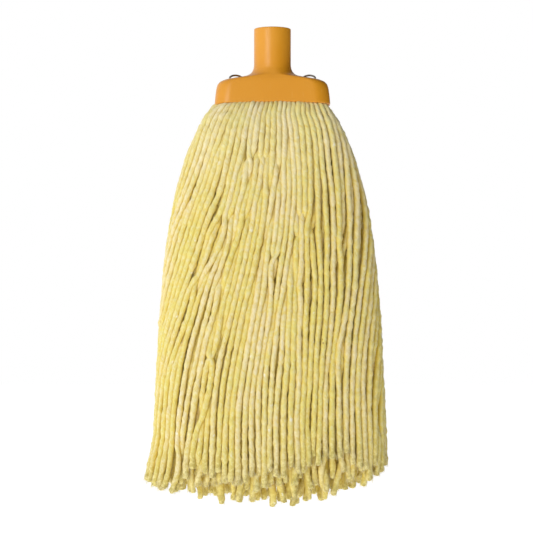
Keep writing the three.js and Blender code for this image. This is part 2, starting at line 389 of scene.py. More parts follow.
def make_object(name, points, quads, triangles, material):
    """A smooth-shaded object, from points in millimetres and faces as arrays."""
    mesh = bpy.data.meshes.new(name)
    mesh.vertices.add(len(points))
    mesh.vertices.foreach_set("co", (points * MM).astype(np.float32).ravel())
    corners = np.concatenate([quads.ravel(), triangles.ravel()]).astype(np.int32)
    starts = np.concatenate(
        [np.arange(len(quads)) * 4, len(quads) * 4 + np.arange(len(triangles)) * 3]
    )
    mesh.loops.add(len(corners))
    mesh.loops.foreach_set("vertex_index", corners)
    mesh.polygons.add(len(starts))
    mesh.polygons.foreach_set("loop_start", starts.astype(np.int32))
    mesh.polygons.foreach_set("use_smooth", np.ones(len(starts), bool))
    mesh.update(calc_edges=True)
    mesh.materials.append(material)
    obj = bpy.data.objects.new(name, mesh)
    bpy.context.scene.collection.objects.link(obj)
    return obj


def round_tube(name, points, radius, side, material, sides=16, rings=120):
    """A closed round tube along a smooth curve, a little narrower at its very ends."""
    centres = along_curve(points, rings)
    across, other = cross_directions(centres[None], side)
    turn = (np.arange(sides) * FULL_TURN / sides)[None, :, None]
    reach = np.full((rings, 1, 1), radius)
    reach[[0, -1]] *= TUBE_END
    skin = across[0][:, None] * np.cos(turn) + other[0][:, None] * np.sin(turn)
    skin = (centres[:, None] + skin * reach).reshape(-1, 3)
    quads, caps = closed_tubes(1, rings, sides, pointed=True)
    points = np.vstack([skin, centres[:1], centres[-1:]])
    return make_object(name, points, quads, caps, material)


def weld(obj):
    """Merges points that fall on each other, and drops the faces without area there."""
    work = bmesh.new()
    work.from_mesh(obj.data)
    bmesh.ops.remove_doubles(work, verts=work.verts, dist=WELD_DISTANCE)
    work.to_mesh(obj.data)
    work.free()


# ---- plastic head

SOCKET_RADIUS = 15.8
BORE_RADIUS = 12.7
BORE_DEPTH = 42.0
BORE_CHAMFER = 0.8
BORE_HALFWAY = 20.0
SKIRT_CORNER = 14.0
SKIRT_ROOF = 48.4
RIM_ARCH = 1.5
CORNER_STEPS = 20
FLAT_STEPS = 6
LEVEL_STEPS = 4
CORNERS = ((1, 1), (-1, 1), (-1, -1), (1, -1))

# The rounded edges of the bore, the socket and the skirt: depths or heights, and insets.
ROUND_DEPTHS = (1.0, 0.45, 0.1, 0.0)
BORE_ROUNDING = (0.0, 0.12, 0.45, 0.9)
SOCKET_ROUNDING = (1.0, 0.5, 0.12, 0.0)
SKIRT_ROUNDING = ((1.0, 0.0), (0.35, 0.12), (0.0, 0.5))

# Depth, half width, half depth, corner radius and arch, from the socket to the skirt.
SHOULDER = (
    (16.0, SOCKET_RADIUS, SOCKET_RADIUS, SOCKET_RADIUS, 0),
    (31.0, SOCKET_RADIUS, SOCKET_RADIUS, SOCKET_RADIUS, 0),
    (34.5, 16.3, 16.0, 16.0, 0),
    (37.2, 17.6, 16.6, 16.6, 0),
    (39.3, 19.8, 17.2, 17.2, 0),
    (40.7, 22.8, 17.7, 17.2, 0),
    (41.6, 26.4, 18.0, 16.4, 0),
    (43.0, 34.0, 18.3, 15.0, 0),
    (44.4, 40.8, 18.6, SKIRT_CORNER, 0),
    (46.0, 44.6, 18.8, SKIRT_CORNER, 0),
    (48.4, 46.9, 19.0, SKIRT_CORNER, 0),
    (51.0, 47.8, 19.2, SKIRT_CORNER, 0),
    (56.5, 48.7, 19.6, SKIRT_CORNER, 0.3 * RIM_ARCH),
)

# The hollow under the roof: how far below it, and how much narrower, shallower and
# tighter in its corners it is than at the rim.
HOLLOW = ((3.6, 1.5, 0.9, 0), (0.8, 2.8, 2.0, 1), (0, 5.0, 4.0, 3), (0, 20.0, 9.0, 7))


def round_level(depth, radius):
    return depth, radius, radius, radius, 0


def skirt_level(height, inset):
    """A level of the skirt near its rim: its height over the rim, and how far in it lies."""
    half_width, half_depth = SKIRT_HALF_WIDTH - inset, SKIRT_HALF_DEPTH - inset
    return SKIRT_BOTTOM - height, half_width, half_depth, SKIRT_CORNER - inset, RIM_ARCH


def head_levels():
    """The head's skin as levels in order: depth, half width, half depth, corner radius and
    arch. It runs up the bore, over the rim, down the outside and up into the hollow."""
    rows = [
        round_level(BORE_DEPTH, 0.4 * BORE_RADIUS),
        round_level(BORE_DEPTH, BORE_RADIUS - BORE_CHAMFER),
        round_level(BORE_DEPTH - BORE_CHAMFER, BORE_RADIUS),
        round_level(BORE_HALFWAY, BORE_RADIUS),
    ]
    for depth, inset in zip(ROUND_DEPTHS, BORE_ROUNDING):
        rows.append(round_level(depth, BORE_RADIUS + inset))
    for depth, inset in zip(ROUND_DEPTHS[::-1], SOCKET_ROUNDING):
        rows.append(round_level(depth, SOCKET_RADIUS - inset))
    rows += SHOULDER
    rows += [skirt_level(height, inset) for height, inset in SKIRT_ROUNDING]
    inside = [(height, SKIRT_WALL - inset) for height, inset in SKIRT_ROUNDING[:0:-1]]
    rows += [skirt_level(height, inset) for height, inset in inside]
    rows.append(skirt_level(1.2, SKIRT_WALL))
    _, half_width, half_depth, corner, _ = rows[-1]
    for below, narrower, shallower, tighter in HOLLOW:
        width, deep = half_width - narrower, half_depth - shallower
        rows.append((SKIRT_ROOF + below, width, deep, corner - tighter, 0))
    return np.array(rows, float)


def denser(rows, steps):
    """Rows with smooth ones added between them, through a curve that passes all of them and
    never swings past its neighbours."""
    padded = np.vstack([rows[0], rows, rows[-1]])
    out = []
    for i in range(len(rows) - 1):
        a, b, c, d = padded[i : i + 4]
        limit = 2 * abs(c - b)
        left = np.clip(c - a, -limit, limit) / 2
        right = np.clip(d - b, -limit, limit) / 2
        for t in np.arange(steps) / steps:
            out.append(
                (2 * t**3 - 3 * t**2 + 1) * b
                + (t**3 - 2 * t**2 + t) * left
                + (3 * t**2 - 2 * t**3) * c
                + (t**3 - t**2) * right
            )
    return np.array(out + [rows[-1]])


def head_turns():
    """The points round a level. Each has which corner it belongs to, in x and in y, which
    slides over to the next corner along the flats, and its direction round that corner."""
    turns = []
    for quarter, (x, y) in enumerate(CORNERS):
        next_x, next_y = CORNERS[(quarter + 1) % 4]
        for s in range(CORNER_STEPS + 1):
            angle = (quarter + s / CORNER_STEPS) * np.pi / 2
            turns.append((x, y, np.cos(angle), np.sin(angle)))
        for s in range(1, FLAT_STEPS):
            share = s / FLAT_STEPS
            corner = (x + (next_x - x) * share, y + (next_y - y) * share)
            turns.append((*corner, np.cos(angle), np.sin(angle)))
    return np.array(turns)


def make_head():
    rows = denser(head_levels(), LEVEL_STEPS)
    turns = head_turns()
    depth, width, deep, corner, arch = (rows[:, k][:, None] for k in range(5))
    x = (width - corner) * turns[:, 0] + corner * turns[:, 2]
    y = (deep - corner) * turns[:, 1] + corner * turns[:, 3]
    z = arch * (1 - (x / SKIRT_HALF_WIDTH) ** 2) - depth
    skin = np.stack([x, y, z], axis=2).reshape(-1, 3)
    points = np.vstack([skin, [0, 0, -BORE_DEPTH], [0, 0, -SKIRT_ROOF]])
    quads, caps = closed_tubes(1, len(rows), len(turns), pointed=True)
    head = make_object("moulded_head", points, quads[:, ::-1], caps[:, ::-1], plastic_material)
    weld(head)
    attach(head, "head")
    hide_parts("socket_head")


make_head()

# ---- rod and staples

WIRE_RADIUS = 0.8
WIRE_GAP = 0.4
STAPLE_CENTRE = 31.2
STAPLE_SPAN = 11.0
CROWN_DEPTH = 39.9
CROWN_BASE = 42.8
CROWN_POINTS = 9
LEG_SET_BACK = ROD_RADIUS + WIRE_RADIUS + WIRE_GAP
FOOT_DEPTH = ROD_DEPTH + ROD_RADIUS + WIRE_RADIUS + WIRE_GAP
FOOT_BEND = 1.8


def staple_leg(side, end):
    """One leg from its clinched foot under the rod up to the skirt's roof."""
    x = side * (STAPLE_CENTRE + end * STAPLE_SPAN / 2)
    return [
        (x, end * LEG_SET_BACK, -FOOT_DEPTH),
        (x, end * (FOOT_BEND - LEG_SET_BACK), -FOOT_DEPTH),
        (x, -end * LEG_SET_BACK, FOOT_BEND - FOOT_DEPTH),
        (x, -end * LEG_SET_BACK, -SKIRT_ROOF),
    ]


def make_staple(name, side):
    """A leg, a crown that arches over the shoulder, and the other leg."""
    points = staple_leg(side, 1)
    for angle in np.linspace(0, np.pi, CROWN_POINTS):
        x = side * (STAPLE_CENTRE + STAPLE_SPAN / 2 * np.cos(angle))
        rise = (CROWN_BASE - CROWN_DEPTH) * np.sin(angle)
        points.append((x, -LEG_SET_BACK * np.cos(angle), rise - CROWN_BASE))
    points += staple_leg(side, -1)[::-1]
    staple = round_tube(f"{name}_wire", points, WIRE_RADIUS, X_AXIS, steel_material)
    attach(staple, "head")
    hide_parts(name)


def make_rod():
    points = [(x, 0, -ROD_DEPTH) for x in np.linspace(-ROD_HALF_LENGTH, ROD_HALF_LENGTH, 5)]
    rod = round_tube("steel_rod", points, ROD_RADIUS, Y_AXIS, steel_material, sides=24, rings=90)
    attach(rod, "head")
    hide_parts("retaining_rod")


make_staple("left_wire_staple", -1)
make_staple("right_wire_staple", 1)
make_rod()

# ---- where the strands go

# How the strands are packed in the skirt's mouth, and in the two outer layers below it.
MOUTH_POWER = 4.5
RING_PITCH = 3.5
RING_INSET = 3.1
OUTER_PITCH = 5.1
SECOND_PITCH = 4.6
LAYER_INSET = 3.6
SPARE_PLACES = 2
FILL_REACH = 0.97
FILL_POWER = 0.32
GOLDEN = 0.6180339887

# The bell that the hanging yarn fills, and how its outline turns from square to round.
FLARE_DROP = 60
BULGE_DROP = 8
FLARE_WIDTH = 42
FLARE_DEPTH = 9
BULGE_DEPTH = 7
WIDTH_SLOPE = 0.035
DEPTH_SLOPE = 0.032
BELL_POWER = 2.2
SQUARER = 4
SQUARE_DROP = 20

# Heights along the strands, and the drops over which they come free of each other.
LEVEL_TOP = 74.0
LEVEL_STEP = 6.0
FREE_DROP = 70
LOOSE_DROP = 120
FAN_DROP = 280
LOW_START = 345
LOW_REACH = 40
LOW_LEVEL = -6
END_LEVEL = -4

# How far the strands go round the mop, and how far the outer ones fan out to the sides.
SWIRL = 0.1
FAN_BIAS = 0.8

# How far strands wander, and over what lengths or how many times round the mop.
ROVERS = 0.14
ROVER_REACH = 1.9
CALM_REACH = 0.8
LOCK_WANDER = 2.4
LOCK_TIMES = (6, 8, 11, 14, 17)
LOCK_LENGTHS = (170, 420)
LAYER_PHASE = 2.1
OWN_WANDER = 1.9
OWN_LENGTHS = (190, 120, 80)
KINK = 0.8
KINK_LENGTHS = (48, 34, 26)
LOW_WANDER = 3.2
LOW_LENGTHS = (60, 40)
SINK = 1.1
SINK_TIMES = (5, 9, 13, 16)
OWN_SINK = 0.9
OWN_SINK_LENGTHS = (120, 70, 45)
LOW_SINK = 2.0
INSIDE_MARGIN = 10

# How the strands push each other apart.
SETTLE_ROUNDS = 50
PAIR_ROUNDS = 10
TOUCH = 0.9
PUSH = 0.4
SPREAD_REACH = 1.6
SPREAD_FORCE = 0.03
STIFFNESS = 0.4
DRAW_BACK = 0.02
HOLD_IN = 0.8


def bell(drop):
    """The outline that the hanging yarn fills, at a drop below the skirt: its half width,
    its half depth and how square it is. The CAD locks fill the same outline."""
    drop = np.maximum(drop, 0)
    flare = 1 - np.exp(-drop / FLARE_DROP)
    bulge = 1 - np.exp(-drop / BULGE_DROP)
    width = SKIRT_HALF_WIDTH - 0.5 + FLARE_WIDTH * flare + WIDTH_SLOPE * drop
    depth = SKIRT_HALF_DEPTH - 1.5 + FLARE_DEPTH * flare + BULGE_DEPTH * bulge
    depth = depth + DEPTH_SLOPE * drop
    return width, depth, BELL_POWER + SQUARER * np.exp(-drop / SQUARE_DROP)


def outline(width, depth, power):
    """An outline from the middle of its back round: shares of the way round, points as
    shares of the half width and half depth, and the whole way round."""
    angle = np.linspace(np.pi / 2, 2.5 * np.pi, 1441)
    u = np.sign(np.cos(angle)) * np.abs(np.cos(angle)) ** (2 / power)
    v = np.sign(np.sin(angle)) * np.abs(np.sin(angle)) ** (2 / power)
    steps = np.hypot(np.diff(u * width), np.diff(v * depth))
    run = np.concatenate([[0], np.cumsum(steps)])
    return run / run[-1], u, v, run[-1]


mouth_width = SKIRT_HALF_WIDTH - SKIRT_WALL - PACKED_RADIUS
mouth_depth = SKIRT_HALF_DEPTH - SKIRT_WALL - PACKED_RADIUS


def pack_mouth():
    """Strands in rings in the mouth of the skirt: which ring, and the share of the way
    round it. Every second ring is set over by half a strand."""
    rings, shares = [], []
    ring = 0
    while mouth_depth - ring * RING_INSET > 0:
        inset = ring * RING_INSET
        way = outline(mouth_width - inset, mouth_depth - inset, MOUTH_POWER)[3]
        number = int(way / RING_PITCH)
        rings.append(np.full(number, ring))
        shares.append((np.arange(number) + (0.25 if ring % 2 else 0.75)) / number)
        ring += 1
    return np.concatenate(rings), np.concatenate(shares)


ring_of, mouth_share = pack_mouth()
count = len(ring_of)
levels = np.arange(LEVEL_TOP, YARN_BOTTOM + 3 * LEVEL_STEP, LEVEL_STEP)
drops = levels - SKIRT_BOTTOM
free = smoothstep(drops / FREE_DROP)
strand_radius = PACKED_RADIUS + (STRAND_RADIUS - PACKED_RADIUS) * free
level_bell = bell(drops)
middle = len(levels) // 2


def layer_shares():
    """Which layer each strand hangs in, how far out it fills the inside, and its share of
    the way round. Strands from the outer rings, and first those from the middle of the
    front and back, fill the outer layer, then the second one. The rest fill the inside."""
    way = outline(*(float(size[middle]) for size in level_bell))[3]
    second_way = way - 6 * LAYER_INSET
    full = [int(way / OUTER_PITCH) - SPARE_PLACES, int(second_way / SECOND_PITCH) - SPARE_PLACES]
    rank = ring_of + (np.arange(count) * GOLDEN) % 1
    rank = rank - FAN_BIAS * np.cos(2 * FULL_TURN * mouth_share)
    order = np.argsort(rank)
    layer = np.full(count, 2)
    layer[order[: full[0]]] = 0
    layer[order[full[0] : sum(full)]] = 1
    inner = order[sum(full) :]
    fill = np.ones(count)
    inward = 1 - (np.arange(len(inner)) + 0.5) / len(inner)
    fill[inner] = FILL_REACH * inward**FILL_POWER
    share = mouth_share.copy()
    for k in (0, 1):
        members = np.nonzero(layer == k)[0]
        members = members[np.argsort(mouth_share[members])]
        slots = (np.arange(len(members)) + 0.5) / len(members)
        share[members] = slots + np.mean(mouth_share[members] - slots)
    return layer, fill, share


layer_of, fill_of, hang_share = layer_shares()


def own_waves(lengths, size):
    """A smooth random wander along each strand, as a sum of a few slow waves."""
    total = np.zeros((count, len(levels)))
    for length in lengths:
        phase = rng.uniform(0, FULL_TURN, (count, 1))
        stretch = rng.uniform(0.75, 1.3, (count, 1))
        total += np.sin(FULL_TURN * levels[None, :] / (length * stretch) + phase)
    return total * size / np.sqrt(len(lengths))


def shared_waves(times_round, size):
    """A wander that neighbouring strands share, so that they gather into locks."""
    total = np.zeros((count, len(levels)))
    for times in times_round:
        length = rng.uniform(*LOCK_LENGTHS) * rng.choice([-1, 1])
        phase = rng.uniform(0, FULL_TURN)
        wave = FULL_TURN * (times * hang_share[:, None] + levels[None, :] / length)
        total += np.sin(wave + phase + LAYER_PHASE * layer_of[:, None])
    return total * size / np.sqrt(len(times_round))


def first_places():
    """Each strand's first place at each level, before the strands push each other apart.
    Some strands rove further than the rest, and all wander more near their ends."""
    loose = smoothstep(drops / LOOSE_DROP)
    fan = smoothstep(drops / FAN_DROP)
    low = smoothstep((levels - LOW_START) / LOW_REACH)
    rover = rng.uniform(0, 1, count) < ROVERS
    rover = np.where(rover, ROVER_REACH, CALM_REACH)[:, None]
    shift = shared_waves(LOCK_TIMES, LOCK_WANDER) + rover * own_waves(OWN_LENGTHS, OWN_WANDER)
    shift = free * (shift + own_waves(KINK_LENGTHS, KINK))
    shift = shift + low * own_waves(LOW_LENGTHS, LOW_WANDER)
    sink = SINK + shared_waves(SINK_TIMES, SINK) + own_waves(OWN_SINK_LENGTHS, OWN_SINK)
    sink = np.maximum(free * sink, 0) + low * own_waves(LOW_LENGTHS, LOW_SINK)
    ring_inset = ring_of * RING_INSET
    inside = layer_of == 2
    spots = np.zeros((count, len(levels), 2))
    for k in range(len(levels)):
        width, depth, power = (float(size[k]) for size in level_bell)
        run, u, v, way = outline(width, depth, power)
        share = mouth_share + (hang_share - SWIRL - mouth_share) * fan[k] + shift[:, k] / way
        side_u, side_v = np.interp(share % 1, run, u), np.interp(share % 1, run, v)
        inset = ring_inset * (1 - free[k]) + np.minimum(layer_of, 1) * LAYER_INSET * free[k]
        inset = inset + sink[:, k] + strand_radius[k]
        x = side_u * np.maximum(width - inset, 1)
        y = side_v * np.maximum(depth - inset, 1)
        inner_x = side_u * (mouth_width - ring_inset)
        inner_y = side_v * (mouth_depth - ring_inset)
        far_x = side_u * (width - INSIDE_MARGIN) * fill_of
        far_y = side_v * (depth - INSIDE_MARGIN) * fill_of
        x = np.where(inside, inner_x + (far_x - inner_x) * loose[k], x)
        y = np.where(inside, inner_y + (far_y - inner_y) * loose[k], y)
        spots[:, k] = np.stack([x, y], axis=1)
    return spots


def near_pairs(spots, gap):
    """The pairs of strands close enough to push each other, as first, second and level."""
    found = []
    for k in range(len(levels)):
        apart = spots[:, None, k] - spots[None, :, k]
        near = np.hypot(apart[..., 0], apart[..., 1]) < gap[k] * SPREAD_REACH
        i, j = np.nonzero(np.triu(near, 1))
        found.append(np.stack([i, j, np.full(len(i), k)]))
    return np.concatenate(found, axis=1)


def settle(spots):
    """Pushes strands apart where they overlap, keeps them inside the bell and stiff along
    their length, and draws them back towards their layer."""
    width, depth, power = level_bell
    gap = 2 * strand_radius * TOUCH
    start = spots.copy()
    for turn in range(SETTLE_ROUNDS):
        if turn % PAIR_ROUNDS == 0:
            i, j, k = near_pairs(spots, gap)
        apart = spots[i, k] - spots[j, k]
        length = np.maximum(np.hypot(apart[:, 0], apart[:, 1]), 1e-6)
        push = np.clip(gap[k] - length, 0, None) * PUSH
        push = push + np.clip(gap[k] * SPREAD_REACH - length, 0, None) * SPREAD_FORCE
        shift = apart / length[:, None] * push[:, None]
        for axis in (0, 1):
            np.add.at(spots[..., axis], (i, k), shift[:, axis])
            np.subtract.at(spots[..., axis], (j, k), shift[:, axis])
        smooth = spots.copy()
        smooth[:, 1:-1] = 0.25 * spots[:, :-2] + 0.5 * spots[:, 1:-1] + 0.25 * spots[:, 2:]
        spots = spots + STIFFNESS * (smooth - spots)
        spots = spots + DRAW_BACK * (start - spots)
        reach = (np.abs(spots[..., 0]) / (width - strand_radius)) ** power
        reach = reach + (np.abs(spots[..., 1]) / (depth - strand_radius)) ** power
        out = np.maximum(reach ** (1 / power), 1.0)
        spots = spots / (1 + (out - 1) * HOLD_IN)[..., None]
    return spots


# The whole mop's lean, the kick of its lower left edge and the tilt of the cut ends.
LEAN = -2.0
LEAN_DROP = 8
KICK = 6.0
KICK_SHARE = 0.68
KICK_BLEND = 0.14
KICK_REACH = 45
TILT = 6
OUTER_TILT = 0.4
TILT_START = 375
TILT_REACH = 30

# Where the strands are cut: the front's depths, by shares of the half width. The two rises
# of the lower edge are where each one starts, a reach, and how far it has risen by then.
END_SHARES = (-1.0, -0.8, -0.6, -0.3, 0.1, 0.5, 0.8, 1.0)
END_DEPTHS = (386.0, 383.0, 372.0, 384.0, 374.0, 364.0, 368.0, 374.0)
END_SPREAD = 3.5
EDGE_SPREAD = 5
RIGHT_RISE = (25, 70, 26)
LEFT_RISE = (35, 72, 16)
NOTCH_X = -72
NOTCH_WIDTH = 4
NOTCH_HEIGHT = 8
SIDE_RISE = 4.5
SIDE_RISE_WIDTH = 30
BACK_START = -38
BACK_REACH = 24
LEAST_BEHIND = ((0, 0.15, 0.65), (1, 0.35, 1.0))


def place_ends(spots):
    """Adds the lean, the kick and the tilt of the ends to the settled strands."""
    kick = smoothstep((-low_share - KICK_SHARE) / KICK_BLEND)[:, None]
    kick = kick * smoothstep((levels - LOW_START) / KICK_REACH)
    spots[..., 0] += LEAN * smoothstep(drops / LEAN_DROP) - KICK * kick
    tilt = rng.uniform(-TILT, TILT, (count, 2, 1))
    tilt = smoothstep((levels - TILT_START) / TILT_REACH) * tilt
    share = np.where(layer_of > 0, 1.0, OUTER_TILT)[:, None, None]
    return spots + share * tilt.transpose(0, 2, 1)


def rise(x, start, reach, height):
    """How far the lower edge has risen at a place, ever more steeply from its start."""
    return np.clip((x - start) / reach, 0, None) ** 2 * height


def strand_ends():
    """The depth at which each strand is cut. The front reaches less far than the back,
    unevenly from left to right, and no strand goes below a rounded edge."""
    front = np.interp(low_share, END_SHARES, END_DEPTHS)
    x, y = spots[:, END_LEVEL, 0], spots[:, END_LEVEL, 1]
    notch = NOTCH_HEIGHT * np.exp(-(((x - NOTCH_X) / NOTCH_WIDTH) ** 2))
    edge = YARN_BOTTOM - rise(x, *RIGHT_RISE) - rise(-x, *LEFT_RISE) - notch
    edge = edge - SIDE_RISE * (1 - np.exp(-((x / SIDE_RISE_WIDTH) ** 2)))
    behind = smoothstep((y - BACK_START) / BACK_REACH)
    for layer, least, most in LEAST_BEHIND:
        further = np.maximum(behind, rng.uniform(least, most, count))
        behind = np.where(layer_of > layer, further, behind)
    end = front + (edge - front) * behind + rng.normal(0, END_SPREAD, count)
    return np.minimum(end, edge - rng.uniform(0, EDGE_SPREAD, count))


spots = settle(first_places())
low_share = spots[:, LOW_LEVEL, 0] / level_bell[0][LOW_LEVEL]
spots = place_ends(spots)
ends = strand_ends()

# ---- strands as meshes

RINGS = 260
SIDES = 10
FINE = 8
SOFTEN_ROUNDS = 12

# The yarn: its uneven thickness, the plies that turn round each other and its rough skin.
THICKNESS_SPREAD = 0.07
SLUB = 0.045
SLUB_WAVES = (9, 14, 23, 41)
PLY = 0.032
PLY_TURN = (11.0, 20.0)
FLUFF = 0.08
ROUGH_LIMIT = 1.5

# Its cut end: a swell that differs from strand to strand, a rounding, a frayed skin, and how far
# up from it the painted shade reaches.
END_SWELL = (-0.12, 0.1)
SWELL_FROM_END = 2.2
SWELL_REACH = 2.4
ROUNDING = 1.3
END_FLUFF = 0.18
END_FLUFF_REACH = 3
TIP_POINT = 0.36
END_SHADE_REACH = 12

# Painted shade on the side of a strand turned away from outside, which deepens from the skirt
# down.
SIDE_SHADE_STRENGTH = 1.05
DARKEN_REACH = 90

# The loose fibres that stand off a strand.
FIBRES = 100
FIBRES_INSIDE = 40
END_FIBRES = 0.3
FRAY_RINGS = 4
FRAY_REACH = 2.2
FIBRE_RADIUS = 0.09
FIBRE_RINGS = 4
FIBRE_SIDES = 3
FIBRE_REACH = (2.0, 5.5)
FIBRE_LIFT = (0.3, 1.25)
FIBRE_VEER = 1.4
FIBRE_CURL = 2.4
FIBRE_ROOT = 0.25
FIBRE_TAPER = 0.55


class Strands:
    """Strands with the same number of rings: centrelines, skins, and what the yarn material
    reads at each point. Each has three plies that turn round each other, thick and thin
    places, and a frayed cut end."""

    def __init__(self, centres, radius, outward, deep):
        self.centres = centres
        self.number, self.rings = centres.shape[:2]
        self.along = run_along(centres)
        self.left = self.along[:, -1:] - self.along
        self.deep = deep
        self.tint = rng.uniform(0, 1, self.number)
        self.skins, self.painted_side_shade = self.make_skins(radius, outward)

    def thickness(self, radius):
        """The radius at each ring, with slubs and a slightly swollen, rounded end."""
        column = (self.number, 1)
        slub = np.zeros_like(self.along)
        for wave in SLUB_WAVES:
            phase = rng.uniform(0, FULL_TURN, column)
            length = wave * rng.uniform(0.8, 1.25, column)
            slub += np.sin(FULL_TURN * self.along / length + phase)
        spread = rng.uniform(1 - THICKNESS_SPREAD, 1 + THICKNESS_SPREAD, column)
        radius = radius * spread * (1 + SLUB * slub)
        swell = np.exp(-(((self.left - SWELL_FROM_END) / SWELL_REACH) ** 2))
        radius = radius * (1 + rng.uniform(*END_SWELL, column) * swell)
        return radius * np.sqrt(np.clip(self.left / ROUNDING, 0, 1) * 0.5 + 0.5)

    def make_skins(self, radius, outward):
        """The points of every strand's skin, ring after ring and then its two ends, and the
        painted side shade at each point, which grows as the point turns away from outside."""
        across, other = cross_directions(self.centres, X_AXIS)
        angle = np.arange(SIDES) * FULL_TURN / SIDES
        column = (self.number, 1)
        plies = FULL_TURN * self.along / rng.uniform(*PLY_TURN, column)
        plies = plies + rng.uniform(0, FULL_TURN, column)
        lobes = 1 + PLY * np.cos(3 * (angle - plies[..., None]))
        rough = rng.standard_normal((self.number, self.rings, SIDES))
        rough[:, 1:-1] = 0.3 * rough[:, :-2] + 0.6 * rough[:, 1:-1] + 0.3 * rough[:, 2:]
        rough = np.clip(rough, -ROUGH_LIMIT, ROUGH_LIMIT)
        fluff = FLUFF + END_FLUFF * np.exp(-self.left / END_FLUFF_REACH)
        reach = self.thickness(radius)[..., None] * lobes * (1 + fluff[..., None] * rough)
        turn = angle[None, None, :, None]
        faces = across[:, :, None] * np.cos(turn) + other[:, :, None] * np.sin(turn)
        skins = self.centres[:, :, None] + reach[..., None] * faces
        tops, lasts = self.centres[:, :1], self.centres[:, -1:]
        tips = lasts + TIP_POINT * (lasts - self.centres[:, -2:-1])
        facing = np.sum(faces * outward[:, :, None], axis=3)
        fade = (1 - np.exp(-self.left / END_FLUFF_REACH))[..., None]
        fade = fade * (0.5 + 0.5 * smoothstep(self.along / DARKEN_REACH))[..., None]
        # Painted shade: more on the side turned away from outside, less near the skirt and the
        # cut end.
        painted_side_shade = np.clip(SIDE_SHADE_STRENGTH * (1 - facing), 0, 1) * fade
        painted_side_shade = np.pad(painted_side_shade.reshape(self.number, -1), ((0, 0), (0, 2)))
        return np.concatenate([skins.reshape(self.number, -1, 3), tops, tips], axis=1), painted_side_shade

    def fibres(self, members, number_each):
        """Loose fibres that stand off the strands: thin closed hairs, each rooted in its
        strand and lifting away as it runs along it. Some stand round the cut end."""
        i = np.repeat(members, number_each)
        number = len(i)
        root = rng.integers(min(8, self.rings // 4), self.rings - 2, number)
        frayed = rng.uniform(0, 1, number) < END_FIBRES
        root = np.where(frayed, self.rings - 2 - rng.integers(0, FRAY_RINGS, number), root)
        side = rng.integers(0, SIDES, number)
        base = self.skins[i, root * SIDES + side]
        out = base - self.centres[i, root]
        out /= np.linalg.norm(out, axis=1, keepdims=True)
        down = self.centres[i, root + 1] - self.centres[i, root - 1]
        down /= np.linalg.norm(down, axis=1, keepdims=True)
        swing = np.cross(down, out)
        reach = rng.uniform(*FIBRE_REACH, (number, 1))
        reach = np.minimum(reach, self.left[i, root][:, None] + FRAY_REACH)
        lift = rng.uniform(*FIBRE_LIFT, (number, 1))
        veer = rng.uniform(-FIBRE_VEER, FIBRE_VEER, (number, 1))
        points = []
        for t in np.arange(FIBRE_RINGS) / (FIBRE_RINGS - 1):
            line = base - FIBRE_ROOT * out * (1 - t) + down * reach * t
            line = line + out * lift * np.sin(FIBRE_CURL * t) + swing * veer * t * t
            wide = FIBRE_RADIUS * (1 - FIBRE_TAPER * t)
            for angle in np.arange(FIBRE_SIDES) * FULL_TURN / FIBRE_SIDES:
                points.append(line + wide * (np.cos(angle) * out + np.sin(angle) * swing))
        quads, caps = closed_tubes(number, FIBRE_RINGS, FIBRE_SIDES, pointed=False)
        return np.stack(points, axis=1).reshape(-1, 3), quads, caps

    def maps(self, members):
        """The strand map for these strands: the turn round each one and metres along it, for
        the corners of the four-sided faces and then for those of the ends."""
        turn = np.arange(SIDES + 1) / SIDES
        v = self.along[members] * MM
        u0 = np.broadcast_to(turn[:-1], (len(members), self.rings - 1, SIDES))
        u1 = np.broadcast_to(turn[1:], u0.shape)
        v0 = np.broadcast_to(v[:, :-1, None], u0.shape)
        v1 = np.broadcast_to(v[:, 1:, None], u0.shape)
        tube = np.stack([u0, v0, u1, v0, u1, v1, u0, v1], axis=3).reshape(-1, 2)
        top = np.zeros((len(members), SIDES))
        low = np.broadcast_to(v[:, -1:], top.shape)
        a = np.broadcast_to(turn[:-1], top.shape)
        b = np.broadcast_to(turn[1:], top.shape)
        caps = np.stack([a, top, b, top, a, top, a, low, a, low, b, low], axis=2)
        return tube, caps.reshape(-1, 2)

    def make_piece(self, name, members, fibres_each):
        """The given strands and their loose fibres as one object."""
        members = np.array(members)
        quads, caps = closed_tubes(len(members), self.rings, SIDES, pointed=True)
        hairs, hair_quads, hair_caps = self.fibres(members, fibres_each)
        points = self.skins[members].reshape(-1, 3)
        piece = make_object(
            name,
            np.concatenate([points, hairs]),
            np.concatenate([quads, hair_quads + len(points)]),
            np.concatenate([caps, hair_caps + len(points)]),
            yarn_material,
        )
        tube_map, cap_map = self.maps(members)
        bare = np.zeros((hair_quads.size, 2)), np.zeros((hair_caps.size, 2))
        strand_map = np.concatenate([tube_map, bare[0], cap_map, bare[1]])
        layer = piece.data.uv_layers.new(name="strand")
        layer.data.foreach_set("uv", strand_map.astype(np.float32).ravel())
        tip = np.repeat(np.exp(-self.left[members] / END_SHADE_REACH), SIDES, axis=1)
        deep = np.repeat(self.deep[members], SIDES, axis=1)
        # What the yarn material reads: each strand's tone, and where painted shade falls: deeper
        # inside, on the side turned away from outside, and near the cut end.
        values = {
            "tint": np.repeat(self.tint[members], self.skins.shape[1]),
            "deep": np.pad(deep, ((0, 0), (0, 2))).ravel(),
            "painted_side_shade": self.painted_side_shade[members].ravel(),
            "tip": np.pad(tip, ((0, 0), (0, 2)), mode="edge").ravel(),
        }
        for key, numbers in values.items():
            attribute = piece.data.attributes.new(key, "FLOAT", "POINT")
            numbers = np.concatenate([numbers, np.zeros(len(hairs))])
            attribute.data.foreach_set("value", numbers.astype(np.float32))
        return piece


# ---- hanging yarn

EXIT_DROP = 15
DEPTH_SHADE_INSET = 9.0
OWN_KNUCKLE = 0.5
SHARED_KNUCKLE = 0.55
KNUCKLE_TIMES = (7, 12, 19)

# The locks' bounds, as shares of the bell's half width.
SIDE_START = 0.6
SIDE_MIDDLE = 0.8
FRONT_COLUMNS = 6


